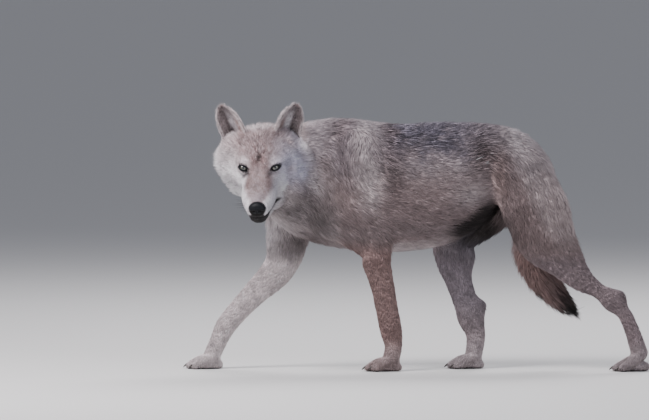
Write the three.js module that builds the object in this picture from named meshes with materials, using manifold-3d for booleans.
// A grey wolf at a walk, life size, its head turned to look out over its left side.
// Millimetres. +Z is up and the floor is Z 0. The wolf walks towards -X, with its left side towards -Y.
// The flesh is one smooth shape, out to the tips of the coat: rounded limbs of oval section, blended where
// they meet. It is meshed part by part and parted with thin cuts. Eyes, nose and ears are pieces of their
// own, and the claws are joined to the paws.
import * as THREE from "three";
import { mergeVertices } from "three/addons/utils/BufferGeometryUtils.js";
import Module from "manifold-3d";

const wasm = await Module();
wasm.setup();

const { abs, max, min, round, sin, sqrt } = Math;
const vec = (x, y, z) => new THREE.Vector3(x, y, z);

// ---------------------------------------------------------------- driving dimensions

const GAP = 0.3; // between neighbouring pieces
const MIDDLE = 101; // Y of the trunk's middle plane
const FLOOR = 0;

// The head's own frame has its origin midway between the pupils: F forward along the muzzle, L to the
// wolf's left, U up. The head is turned to the left, nose down.
const HEAD_AT = vec(-442, MIDDLE - 205, 566);
const HEAD_PITCH = 30; // degrees, nose down
const HEAD_TURN = 86; // degrees to the left of the way the wolf walks
const HEAD_ROLL = 1;

const EYE = { forward: 4, apart: 44, up: 12, radius: 14.5 };
const NOSE = { forward: 132, up: -39, long: 17, wide: 25, high: 19 };
const EAR = { base: [-92, 70, 44], tip: [-100, 104, 156], wide: 38.5, cup: 24, thick: 8, turn: 0.25 };
const MOUTH = { corner: [24, -77], front: [150, -69] }; // F and U of the mouth line's two ends

// Stations of a limb, from one end to the other: X, Y from the middle plane, Z, half its depth, half its
// width. The width is taken across the wolf, and the depth square to it.
const TRUNK = {
  breast: [-325, 0, 498, 108, 76],
  brisket: [-246, 0, 521, 172, 90],
  withers: [-148, 0, 515, 184, 104],
  ribs: [-50, 0, 511, 182, 115],
  waist: [34, 0, 521, 176, 111],
  loin: [104, 0, 545, 152, 102],
  flank: [174, 0, 584, 110, 94],
  croup: [244, 0, 576, 104, 90],
  rump: [290, 0, 548, 88, 72],
  seat: [322, 0, 532, 62, 54],
};
const NECK = {
  base: [-204, 0, 550, 136, 84],
  low: [-288, -12, 550, 140, 88],
  middle: [-358, -52, 552, 132, 92],
  high: [-400, -100, 566, 114, 92],
  nape: [-414, -128, 586, 92, 84],
};
const FORE_LEFT = {
  blade: [-176, -50, 600, 80, 50],
  shoulder: [-258, -58, 476, 75, 46],
  arm: [-190, -66, 414, 66, 42],
  elbow: [-126, -72, 353, 50, 36],
  forearm: [-115, -74, 302, 43, 32],
  shin: [-99, -72, 238, 36, 27],
  ankle: [-87, -70, 174, 33, 25],
  wrist: [-76, -68, 118, 32, 26],
  pastern: [-69, -66, 73, 26, 25],
  knuckle: [-74, -66, 40, 25, 30],
};
const FORE_RIGHT = {
  blade: [-224, 50, 574, 80, 50],
  shoulder: [-336, 56, 462, 78, 44],
  arm: [-361, 62, 386, 66, 40],
  elbow: [-375, 66, 314, 53, 35],
  forearm: [-400, 66, 269, 47, 32],
  shin: [-456, 64, 213, 37, 27],
  ankle: [-505, 62, 161, 32, 25],
  wrist: [-538, 60, 120, 30, 26],
  pastern: [-558, 60, 80, 26, 25],
  knuckle: [-575, 60, 42, 25, 30],
};
const HIND_LEFT = {
  hip: [284, -46, 538, 94, 50],
  thigh: [328, -56, 454, 96, 48],
  stifle: [357, -62, 378, 86, 42],
  shank: [402, -64, 320, 60, 36],
  tendon: [451, -65, 263, 39, 27],
  cord: [501, -66, 228, 25, 20],
  hock: [543, -66, 199, 27, 21],
  cannon: [577, -66, 160, 22, 19],
  pastern: [599, -66, 112, 22, 20],
  knuckle: [618, -66, 54, 25, 29],
};
const HIND_RIGHT = {
  hip: [280, 46, 538, 100, 50],
  thigh: [193, 54, 462, 88, 48],
  stifle: [110, 62, 384, 70, 42],
  shank: [105, 64, 314, 59, 35],
  tendon: [113, 65, 258, 43, 29],
  cord: [129, 66, 204, 37, 25],
  hock: [149, 66, 146, 36, 23],
  cannon: [163, 66, 92, 28, 21],
  knuckle: [158, 66, 42, 25, 30],
};
const TAIL = {
  root: [322, 0, 556, 40, 36],
  dock: [349, 4, 514, 40, 37],
  bush: [336, 14, 442, 46, 43],
  middle: [316, 20, 364, 49, 46],
  low: [325, 22, 302, 50, 46],
  end: [361, 22, 241, 45, 42],
  brush: [406, 20, 190, 32, 30],
  tip: [434, 18, 165, 14, 13],
};
// A heel bone stands out behind each hock.
const HEEL_LEFT = { joint: [543, -66, 199, 20, 16], point: [560, -66, 208, 15, 13] };
const HEEL_RIGHT = { joint: [149, 66, 146, 22, 16], point: [173, 66, 176, 16, 13] };

// The head's stations, in its own frame: F, L, U, half depth, half width.
const SKULL = [
  [16, 0, -32, 34, 38],
  [-12, 0, -15, 42, 50],
  [-42, 0, 3, 54, 66],
  [-80, 0, 13, 67, 74],
  [-118, 0, 6, 64, 72],
];
const MUZZLE = [
  [120, 0, -46, 27, 34],
  [94, 0, -45, 33, 43],
  [62, 0, -42, 38, 49],
  [24, 0, -38, 38, 48],
];
const JAW = [
  [108, 0, -82, 18, 25],
  [74, 0, -84, 21, 36],
  [35, 0, -87, 26, 46],
  [-10, 0, -91, 32, 54],
  [-50, 0, -84, 40, 64],
];
// These two lie on each side of the head.
const CHEEK = [
  [-22, 48, -38, 22, 20],
  [-60, 66, -34, 34, 34],
];
const RUFF = [
  [-88, 74, 26, 40, 44],
  [-92, 84, -32, 46, 45],
  [-78, 58, -84, 44, 46],
];
const BROW = [
  [-6, 22, 10, 14, 14],
  [-26, 48, 22, 15, 15],
];

// Where the body is parted. Outlines are in X and Z, and those of the head and jaw in F and U.
const TAIL_CUT = 400; // Z between the tail's root and its brush
const RIBS_CUT = -60; // X between the chest and the belly
const HIP_CUT = 170; // X between the belly and the rump
const NECK_CUT = { x: -262, z: 560, slope: -0.35 };
const HEAD_BLOCK = [
  [-118, 400],
  [-118, -70],
  [-70, -122],
  [60, -150],
  [400, -150],
  [400, 400],
];
const JAW_BLOCK = [
  MOUTH.front,
  MOUTH.corner,
  [MOUTH.corner[0] - 6, -200],
  [300, -200],
  [300, MOUTH.front[1]],
];
const ARM_LEFT = [
  [-232, 392],
  [-52, 404],
  [-30, 300],
  [-30, -60],
  [-190, -60],
  [-190, 300],
];
const ARM_RIGHT = [
  [-452, 362],
  [-300, 384],
  [-290, 250],
  [-430, -60],
  [-700, -60],
  [-700, 200],
];
const THIGH_LEFT = [
  [236, 640],
  [330, 640],
  [470, 400],
  [800, 300],
  [800, -60],
  [420, -60],
  [290, 250],
  [226, 420],
];
const THIGH_RIGHT = [
  [206, 640],
  [320, 640],
  [330, 420],
  [225, 250],
  [225, -60],
  [50, -60],
  [50, 300],
  [64, 400],
  [150, 540],
];
// Each leg's block: its outline in X and Z, and its span in Y from the middle plane.
const LEG_BLOCKS = {
  fore_left: { outline: ARM_LEFT, from: -200, to: -34 },
  fore_right: { outline: ARM_RIGHT, from: 30, to: 200 },
  hind_left: { outline: THIGH_LEFT, from: -200, to: -12 },
  hind_right: { outline: THIGH_RIGHT, from: 12, to: 200 },
};
// Each leg in two lengths above the paw: where it is parted, and where its paw begins.
const LEG_PARTS = {
  fore_left: { upper: "foreleg_left", paw: "forepaw_left", wrist: 96 },
  fore_right: { upper: "foreleg_right", paw: "forepaw_right", wrist: 96 },
  hind_left: { upper: "thigh_left", lower: "shank_left", cut: 300, paw: "hindpaw_left", wrist: 84 },
  hind_right: { upper: "thigh_right", lower: "shank_right", cut: 300, paw: "hindpaw_right", wrist: 72 },
};

// A paw's toes, from the inner one out: how far each lies to the side, and how far it reaches forward.
const TOES = [
  { aside: -29, reach: 45 },
  { aside: -11, reach: 61 },
  { aside: 11, reach: 61 },
  { aside: 29, reach: 45 },
];
const TOE = { radius: 14, high: 9 };
const CLAW = { radius: 4, long: 18, high: 14, out: 1, droop: 0.45 };
const PAD = { back: 4, high: 10, deep: 17, wide: 28 };

// ---------------------------------------------------------------- the smooth shape of the flesh

const headTurn = new THREE.Matrix4()
  .makeRotationZ(THREE.MathUtils.degToRad(180 + HEAD_TURN))
  .multiply(new THREE.Matrix4().makeRotationY(THREE.MathUtils.degToRad(HEAD_PITCH)))
  .multiply(new THREE.Matrix4().makeRotationX(THREE.MathUtils.degToRad(HEAD_ROLL)));
const headToWorld = new THREE.Matrix4().makeTranslation(HEAD_AT).multiply(headTurn);
const worldToHead = headToWorld.clone().invert();

const inWorld = (stations) =>
  Object.values(stations).map(([x, y, z, deep, wide]) => [x, y + MIDDLE, z, deep, wide]);
const otherSide = (stations) => stations.map(([f, l, u, deep, wide]) => [f, -l, u, deep, wide]);

// Stations spaced closely along a smooth curve through the given ones.
function smoothed(stations, steps = 4) {
  const out = [];
  for (let i = 0; i + 1 < stations.length; i++) {
    const [a, b, c, d] = [-1, 0, 1, 2].map((k) => stations[min(max(i + k, 0), stations.length - 1)]);
    for (let s = 0; s < steps; s++) {
      const t = s / steps;
      out.push(
        b.map((v, k) => {
          const slope = (c[k] - a[k]) / 2;
          const next = (d[k] - v) / 2;
          const rise = c[k] - v;
          return v + slope * t + (3 * rise - 2 * slope - next) * t ** 2 + (slope + next - 2 * rise) * t ** 3;
        }),
      );
    }
  }
  out.push(stations.at(-1));
  return out;
}

// A limb: oval sections swept along its stations. across is the way its width is measured, or null for
// level and square to the limb. blend is how softly it runs into the rest.
function limb(stations, blend, across = vec(0, 1, 0)) {
  const points = smoothed(stations);
  const parts = points.slice(1).map((b, i) => {
    const a = points[i];
    const along = vec(b[0] - a[0], b[1] - a[1], b[2] - a[2]);
    const side = across ?? along.clone().cross(vec(0, 0, 1)).normalize();
    return { a, b, along, square: along.lengthSq(), side };
  });
  const reach = max(...points.map((p) => max(p[3], p[4]))) + 80;
  const low = [0, 1, 2].map((k) => min(...points.map((p) => p[k])) - reach);
  const high = [0, 1, 2].map((k) => max(...points.map((p) => p[k])) + reach);
  const distance = (x, y, z) => {
    let best = Infinity;
    for (const { a, b, along, square, side } of parts) {
      let [px, py, pz] = [x - a[0], y - a[1], z - a[2]];
      const t = min(max((px * along.x + py * along.y + pz * along.z) / square, 0), 1);
      px -= t * along.x;
      py -= t * along.y;
      pz -= t * along.z;
      const s = px * side.x + py * side.y + pz * side.z;
      const rest = max(px * px + py * py + pz * pz - s * s, 0);
      const deep = a[3] + t * (b[3] - a[3]);
      const wide = a[4] + t * (b[4] - a[4]);
      const size = sqrt((s / wide) ** 2 + rest / deep ** 2);
      const slope = sqrt((s / wide ** 2) ** 2 + rest / deep ** 4);
      best = min(best, slope > 1e-9 ? (size * (size - 1)) / slope : -min(deep, wide));
    }
    return best;
  };
  return { blend, distance, low, high };
}

const blended = (a, b, k) => min(a, b) - max(k - abs(a - b), 0) ** 2 / (4 * k);

function union(limbs) {
  return (x, y, z) => {
    let d = 1e3;
    for (const { blend, distance, low, high } of limbs) {
      if (x < low[0] || y < low[1] || z < low[2] || x > high[0] || y > high[1] || z > high[2]) continue;
      d = blended(d, distance(x, y, z), blend);
    }
    return d;
  };
}

// The toes and pad in front of and under a leg's knuckle.
function pawLimbs(leg) {
  const [x, y, z] = leg.knuckle;
  const toes = TOES.map(({ aside, reach }) =>
    limb(
      inWorld([
        [x + 4, y + aside * 0.55, z - 8, 16, 14],
        [x - reach * 0.55, y + aside * 0.95, 24, 15.5, 13],
        [x - reach, y + aside, TOE.high, TOE.radius, 12.5],
      ]),
      5,
    ),
  );
  const pad = limb(
    inWorld([
      [x + PAD.back + 8, y, PAD.high + 3, PAD.deep, PAD.wide - 4],
      [x - 22, y, PAD.high, PAD.deep, PAD.wide],
    ]),
    10,
  );
  return [...toes, pad];
}

const LEGS = { fore_left: FORE_LEFT, fore_right: FORE_RIGHT, hind_left: HIND_LEFT, hind_right: HIND_RIGHT };

const sideways = vec(0, 1, 0);
const headLimbs = [
  limb(SKULL, 16, sideways),
  limb(MUZZLE, 18, sideways),
  limb(JAW, 12, sideways),
  ...[CHEEK, RUFF, BROW].flatMap((s) => [limb(s, 22, sideways), limb(otherSide(s), 22, sideways)]),
];
const headShape = union(headLimbs);
const inHead = vec(0, 0, 0);
const headField = (x, y, z) => {
  inHead.set(x, y, z).applyMatrix4(worldToHead);
  return headShape(inHead.x, inHead.y, inHead.z);
};
const bodyField = union([
  limb(inWorld(TRUNK), 30),
  limb(inWorld(NECK), 50, null),
  limb(inWorld(HEEL_LEFT), 8),
  limb(inWorld(HEEL_RIGHT), 8),
  ...Object.values(LEGS).flatMap((leg) => [limb(inWorld(leg), 34), ...pawLimbs(leg)]),
]);
const flesh = (x, y, z) => blended(bodyField(x, y, z), headField(x, y, z), 40);
const tailField = union([limb(inWorld(TAIL), 10)]);

// ---------------------------------------------------------------- meshing a field

// The surface where field is 0, inside a box that is turned by frame, on a grid of cells. One vertex is
// put in each cell that the surface crosses and then drawn onto the surface, and each crossed grid edge
// gets the quad of the four cells round it.
function net(field, { centre, size, cell, frame = new THREE.Quaternion(), grow = 0 }) {
  const count = size.map((s, k) => round(s / cell[k]));
  const [nx, ny, nz] = count.map((n) => n + 1);
  const point = vec(0, 0, 0);
  const place = (i, j, k) =>
    point
      .set(i * cell[0] - size[0] / 2, j * cell[1] - size[1] / 2, k * cell[2] - size[2] / 2)
      .applyQuaternion(frame)
      .add(centre);
  const value = (p) => field(p.x, p.y, p.z) - grow;
  const index = (i, j, k) => (k * ny + j) * nx + i;
  const values = new Float64Array(nx * ny * nz);
  for (let k = 0; k < nz; k++)
    for (let j = 0; j < ny; j++)
      for (let i = 0; i < nx; i++) {
        const edge = min(i, j, k, nx - 1 - i, ny - 1 - j, nz - 1 - k) === 0;
        values[index(i, j, k)] = edge ? 1 : value(place(i, j, k)) || 1e-6;
      }
  const step = [1, nx, nx * ny];
  // Where the two inner corners of a grid square lie crosswise, a third is taken in, so that no edge of
  // the mesh is shared by more than two faces.
  for (let again = true; again; ) {
    again = false;
    for (let at = 0; at + step[2] + step[1] + 1 < values.length; at++)
      for (let m = 0; m < 3; m++) {
        const [p, q] = [step[m], step[(m + 1) % 3]];
        const [a, b, c, d] = [at, at + p, at + p + q, at + q].map((n) => values[n] < 0);
        if (a !== c || b !== d || a === b) continue;
        values[a ? at + p : at] = -1e-3;
        again = true;
      }
  }
  const corners = [...Array(8).keys()].map((c) => [c & 1, (c >> 1) & 1, c >> 2]);
  const edges = corners.flatMap((c, a) =>
    [0, 1, 2].filter((k) => !c[k]).map((k) => [a, a + (1 << k)]),
  );
  const vertexOf = new Int32Array(values.length).fill(-1);
  const positions = [];
  const slope = vec(0, 0, 0);
  for (let k = 0; k + 1 < nz; k++)
    for (let j = 0; j + 1 < ny; j++)
      for (let i = 0; i + 1 < nx; i++) {
        const at = index(i, j, k);
        const v = corners.map(([a, b, c]) => values[at + a * step[0] + b * step[1] + c * step[2]]);
        const crossed = edges.filter(([a, b]) => v[a] < 0 !== v[b] < 0);
        if (!crossed.length) continue;
        const mean = [0, 0, 0];
        for (const [a, b] of crossed) {
          const t = v[a] / (v[a] - v[b]);
          for (const m of [0, 1, 2]) {
            mean[m] += (corners[a][m] * (1 - t) + corners[b][m] * t) / crossed.length;
          }
        }
        const p = place(i + mean[0], j + mean[1], k + mean[2]).clone();
        const inside = min(i, j, k, nx - 2 - i, ny - 2 - j, nz - 2 - k) > 0;
        for (let turn = 0; inside && turn < 3; turn++) {
          const d = value(p);
          slope.set(
            field(p.x + 0.5, p.y, p.z) - field(p.x - 0.5, p.y, p.z),
            field(p.x, p.y + 0.5, p.z) - field(p.x, p.y - 0.5, p.z),
            field(p.x, p.y, p.z + 0.5) - field(p.x, p.y, p.z - 0.5),
          );
          const move = -d / max(slope.lengthSq(), 0.25);
          const most = min(...cell) * 0.4;
          p.addScaledVector(slope, max(min(move, most), -most));
        }
        vertexOf[at] = positions.length / 3;
        positions.push(p.x, p.y, p.z);
      }
  const faces = [];
  const corner = (v) => vec(positions[3 * v], positions[3 * v + 1], positions[3 * v + 2]);
  for (let k = 0; k + 1 < nz; k++)
    for (let j = 0; j + 1 < ny; j++)
      for (let i = 0; i + 1 < nx; i++) {
        const at = index(i, j, k);
        for (let m = 0; m < 3; m++) {
          if (![i, j, k][(m + 1) % 3] || ![i, j, k][(m + 2) % 3]) continue;
          const [a, b] = [values[at], values[at + step[m]]];
          if (a < 0 === b < 0) continue;
          const [p, q] = [step[(m + 1) % 3], step[(m + 2) % 3]];
          let quad = [at - p - q, at - q, at, at - p].map((c) => vertexOf[c]);
          if (b < 0) quad.reverse();
          const [c0, c1, c2, c3] = quad.map(corner);
          if (c0.distanceTo(c2) > c1.distanceTo(c3)) quad = [...quad.slice(1), quad[0]];
          faces.push(quad[0], quad[1], quad[2], quad[0], quad[2], quad[3]);
        }
      }
  return new THREE.BufferGeometry()
    .setAttribute("position", new THREE.BufferAttribute(new Float32Array(positions), 3))
    .setIndex(faces);
}

// ---------------------------------------------------------------- solids

function solid(geometry) {
  const bare = geometry.clone();
  bare.deleteAttribute("normal");
  bare.deleteAttribute("uv");
  const merged = mergeVertices(bare, 1e-3);
  return new wasm.Manifold(
    new wasm.Mesh({
      numProp: 3,
      vertProperties: merged.attributes.position.array,
      triVerts: new Uint32Array(merged.index.array),
    }),
  );
}

function geometryOf(body) {
  const mesh = body.getMesh();
  return new THREE.BufferGeometry()
    .setAttribute("position", new THREE.BufferAttribute(new Float32Array(mesh.vertProperties), 3))
    .setIndex([...mesh.triVerts]);
}

// The same surface with every vertex moved outwards.
function grown(geometry, by) {
  const g = geometry.clone();
  g.computeVertexNormals();
  const { position, normal } = g.attributes;
  for (let i = 0; i < position.count; i++) {
    position.setXYZ(
      i,
      position.getX(i) + by * normal.getX(i),
      position.getY(i) + by * normal.getY(i),
      position.getZ(i) + by * normal.getZ(i),
    );
  }
  return g;
}

// A block with an outline in X and Z, from one Y to another, both measured from the middle plane.
// With a frame the outline is F and U, and the block runs from one L to another.
function prism(outline, from, to, gap = 0, frame = new THREE.Matrix4().makeTranslation(0, MIDDLE, 0)) {
  const shape = new THREE.Shape(outline.map(([x, z]) => new THREE.Vector2(x, z)));
  const g = new THREE.ExtrudeGeometry(shape, { depth: to - from + 2 * gap, bevelEnabled: false });
  return solid(g.rotateX(Math.PI / 2).translate(0, to + gap, 0).applyMatrix4(frame));
}

// An outline moved outwards by a distance, for the hole that a block with that outline leaves.
function wider(outline, by) {
  const turn = THREE.ShapeUtils.area(outline.map(([x, y]) => ({ x, y })));
  const points = turn > 0 ? outline : [...outline].reverse();
  const count = points.length;
  return points.map(([x, y], i) => {
    const [a, b] = [points[(i + count - 1) % count], points[(i + 1) % count]];
    const n0 = new THREE.Vector2(y - a[1], a[0] - x).normalize();
    const n1 = new THREE.Vector2(b[1] - y, x - b[0]).normalize();
    const n = n0.clone().add(n1);
    n.multiplyScalar(by / (0.5 * n.lengthSq()));
    return [x + n.x, y + n.y];
  });
}

// Outlines of half spaces, in X and Z. slope is how far X moves for each step up from z.
const FAR = 1200;
const ahead = (x, slope = 0, z = 0) => [
  [x + slope * (FAR - z), FAR],
  [x - slope * (FAR + z), -FAR],
  [-2 * FAR, -FAR],
  [-2 * FAR, FAR],
];
const behind = (x, slope = 0, z = 0) => [
  [x + slope * (FAR - z), FAR],
  [2 * FAR, FAR],
  [2 * FAR, -FAR],
  [x - slope * (FAR + z), -FAR],
];
const under = (z) => [
  [-FAR, z],
  [FAR, z],
  [FAR, -FAR],
  [-FAR, -FAR],
];
const over = (z) => [
  [-FAR, z],
  [FAR, z],
  [FAR, FAR],
  [-FAR, FAR],
];

const keep = (body, outline, from = -FAR, to = FAR, frame) =>
  body.intersect(prism(outline, from, to, 0, frame));
const drop = (body, outline, from = -FAR, to = FAR, frame) =>
  body.subtract(prism(wider(outline, GAP), from, to, GAP, frame));
const box = (x, y, z, sx, sy, sz, cell) => ({
  centre: vec(x, y + MIDDLE, z),
  size: [sx, sy, sz],
  cell,
});

// An ear: a cupped leaf, wide above its base, its hollow turned forward. sign is 1 for the left.
function earLeaf(sign) {
  const [ROWS, COLUMNS] = [7, 6];
  const base = vec(EAR.base[0], sign * EAR.base[1], EAR.base[2]);
  const tip = vec(EAR.tip[0], sign * EAR.tip[1], EAR.tip[2]);
  const up = tip.clone().sub(base).normalize();
  const across = vec(-sign * EAR.turn, 1, 0).normalize();
  across.addScaledVector(up, -across.dot(up)).normalize();
  const forward = across.clone().cross(up);
  const point = (row, column, outer) => {
    const t = row / ROWS;
    const s = (2 * column) / COLUMNS - 1;
    const leaf = EAR.wide * sqrt(1 - t ** 2.6) * (1 + 0.07 * sin(Math.PI * t));
    const deep = EAR.cup * (1 - t) ** 0.6 * (1 - s * s) + (outer ? EAR.thick * (1 - 0.5 * t) : 0);
    return base
      .clone()
      .lerp(tip, t)
      .addScaledVector(across, s * max(leaf, 3) * (outer ? 1 : 0.93))
      .addScaledVector(forward, -deep);
  };
  const positions = [];
  for (const outer of [true, false])
    for (let row = 0; row <= ROWS; row++)
      for (let column = 0; column <= COLUMNS; column++) positions.push(...point(row, column, outer));
  const sheet = (ROWS + 1) * (COLUMNS + 1);
  const at = (row, column, outer) => row * (COLUMNS + 1) + column + (outer ? 0 : sheet);
  const faces = [];
  const quad = (a, b, c, d) => faces.push(a, b, c, a, c, d);
  for (let row = 0; row < ROWS; row++)
    for (let column = 0; column < COLUMNS; column++) {
      const square = (outer) => [
        at(row, column, outer),
        at(row, column + 1, outer),
        at(row + 1, column + 1, outer),
        at(row + 1, column, outer),
      ];
      quad(...square(true).reverse());
      quad(...square(false));
    }
  const edge = (r0, c0, r1, c1) =>
    quad(at(r0, c0, true), at(r0, c0, false), at(r1, c1, false), at(r1, c1, true));
  for (let row = 0; row < ROWS; row++) {
    edge(row, 0, row + 1, 0);
    edge(row + 1, COLUMNS, row, COLUMNS);
  }
  for (let column = 0; column < COLUMNS; column++) {
    edge(0, column + 1, 0, column);
    edge(ROWS, column, ROWS, column + 1);
  }
  return new THREE.BufferGeometry()
    .setAttribute("position", new THREE.BufferAttribute(new Float32Array(positions), 3))
    .setIndex(faces);
}

// ---------------------------------------------------------------- the pieces

const pieces = new Map();
const coat = (name, color) => new THREE.MeshStandardMaterial({ name, color, roughness: 0.9, metalness: 0 });
const MATERIALS = {
  saddle: coat("grey_coat", 0x8d8479),
  flank: coat("buff_coat", 0xa89a88),
  pale: coat("pale_coat", 0xcfc5b6),
  tan: coat("tan_coat", 0xa78b72),
  dark: coat("dark_coat", 0x5d5148),
  eye: new THREE.MeshStandardMaterial({ name: "eye", color: 0x9c8f5c, roughness: 0.1, metalness: 0 }),
  nose: new THREE.MeshStandardMaterial({ name: "nose_skin", color: 0x23242a, roughness: 0.45, metalness: 0 }),
};

const add = (name, body, material) => pieces.set(name, { body, material });

// The largest of the bodies that a cut leaves.
const whole = (body) => body.decompose().sort((a, b) => b.volume() - a.volume())[0];

const trunkNet = net(flesh, box(-20, 0, 480, 1120, 340, 720, [56, 38, 40]));
const trunk = solid(trunkNet);

let core = trunk;
for (const { outline, from, to } of Object.values(LEG_BLOCKS)) core = drop(core, outline, from, to);

const neckSide = ahead(NECK_CUT.x - GAP / 2, NECK_CUT.slope, NECK_CUT.z);
const chestSide = behind(NECK_CUT.x + GAP / 2, NECK_CUT.slope, NECK_CUT.z);
add("neck", whole(drop(keep(core, neckSide), HEAD_BLOCK, -400, 400, headToWorld)), "pale");
add("chest", whole(keep(keep(core, chestSide), ahead(RIBS_CUT - GAP / 2))), "flank");
add("belly", whole(keep(keep(core, behind(RIBS_CUT + GAP / 2)), ahead(HIP_CUT - GAP / 2))), "saddle");
add("rump", whole(keep(core, behind(HIP_CUT + GAP / 2))), "flank");

const legNets = [];
for (const [leg, { upper, lower, cut, paw, wrist }] of Object.entries(LEG_PARTS)) {
  const { outline, from, to } = LEG_BLOCKS[leg];
  const stations = Object.values(LEGS[leg]);
  const foot = stations.at(-1);
  const lowLeg = stations.filter(([, , z]) => z < (lower ? 330 : 400));
  const x0 = min(...lowLeg.map((s) => s[0] - s[3])) - 30;
  const x1 = max(...lowLeg.map((s) => s[0] + s[3])) + 30;
  const top = lower ? cut : 410;
  const y = foot[1] - 2 * Math.sign(foot[1]);
  const size = [x1 - x0, 120, top - wrist + 90];
  const legNet = net(flesh, box((x0 + x1) / 2, y, (top + wrist) / 2, ...size, [21, 18, 44]));
  legNets.push(legNet);
  const column = keep(solid(legNet), over(wrist + GAP / 2));
  const pawNet = net(flesh, box(foot[0] - 24, y, wrist / 2 - 4, 150, 112, wrist + 40, [16, 12.5, 17]));
  const pawSolid = keep(keep(solid(pawNet), under(wrist - GAP / 2)), over(FLOOR));
  if (lower) {
    add(upper, whole(keep(keep(trunk, outline, from, to), over(cut + GAP / 2))), "flank");
    add(lower, whole(keep(keep(column, outline, from, to), under(cut - GAP / 2))), "flank");
  } else {
    add(upper, whole(keep(column, outline, from, to)), "tan");
  }
  const claws = TOES.map(({ aside, reach }) => {
    const claw = new THREE.ConeGeometry(CLAW.radius, CLAW.long, 5).rotateZ(Math.PI / 2).rotateY(-CLAW.droop);
    const tip = foot[0] - reach - TOE.radius - CLAW.out;
    return solid(claw.translate(tip, foot[1] + aside + MIDDLE, CLAW.high));
  });
  add(paw, whole(claws.reduce((joined, claw) => joined.add(claw), pawSolid)), "pale");
}

const headNet = net(flesh, {
  centre: vec(0, 0, -10).applyMatrix4(headToWorld),
  size: [390, 300, 300],
  cell: [22, 18, 19],
  frame: new THREE.Quaternion().setFromRotationMatrix(headTurn),
});
const inHeadFrame = (geometry) => geometry.applyMatrix4(headToWorld);
let head = keep(solid(headNet), HEAD_BLOCK, -400, 400, headToWorld);
const headGrown = solid(grown(headNet, GAP));

for (const [side, sign] of Object.entries({ left: 1, right: -1 })) {
  const ball = (radius) => {
    const sphere = new THREE.SphereGeometry(radius, 12, 8).rotateZ(-Math.PI / 2);
    return solid(inHeadFrame(sphere.translate(EYE.forward, sign * EYE.apart, EYE.up)));
  };
  add(`eye_${side}`, ball(EYE.radius), "eye");
  head = head.subtract(ball(EYE.radius + 2 * GAP));
  add(`ear_${side}`, whole(solid(inHeadFrame(earLeaf(sign))).subtract(headGrown)), "saddle");
}

const pad = (by) => {
  const ball = new THREE.SphereGeometry(1, 14, 8).scale(NOSE.long + by, NOSE.wide + by, NOSE.high + by);
  return solid(inHeadFrame(ball.translate(NOSE.forward, 0, NOSE.up)));
};
add("nose", pad(0), "nose");
head = head.subtract(pad(2 * GAP));

// The lower jaw, parted from the head along the mouth.
add("lower_jaw", whole(keep(head, JAW_BLOCK, -400, 400, headToWorld)), "pale");
add("head", whole(drop(head, JAW_BLOCK, -400, 400, headToWorld)), "pale");

let tail = solid(net(tailField, box(360, 14, 360, 240, 180, 500, [24, 24, 36])));
tail = tail.subtract(solid(grown(trunkNet, GAP)));
for (const leg of legNets) tail = tail.subtract(solid(grown(leg, GAP)));
add("tail_root", whole(keep(tail, over(TAIL_CUT + GAP / 2))), "flank");
add("tail_brush", whole(keep(tail, under(TAIL_CUT - GAP / 2))), "dark");

const group = new THREE.Group();
group.name = "wolf";
for (const [name, { body, material }] of pieces) {
  const mesh = new THREE.Mesh(geometryOf(body).toNonIndexed(), MATERIALS[material].clone());
  mesh.geometry.computeVertexNormals();
  mesh.name = name;
  group.add(mesh);
}
export default group;
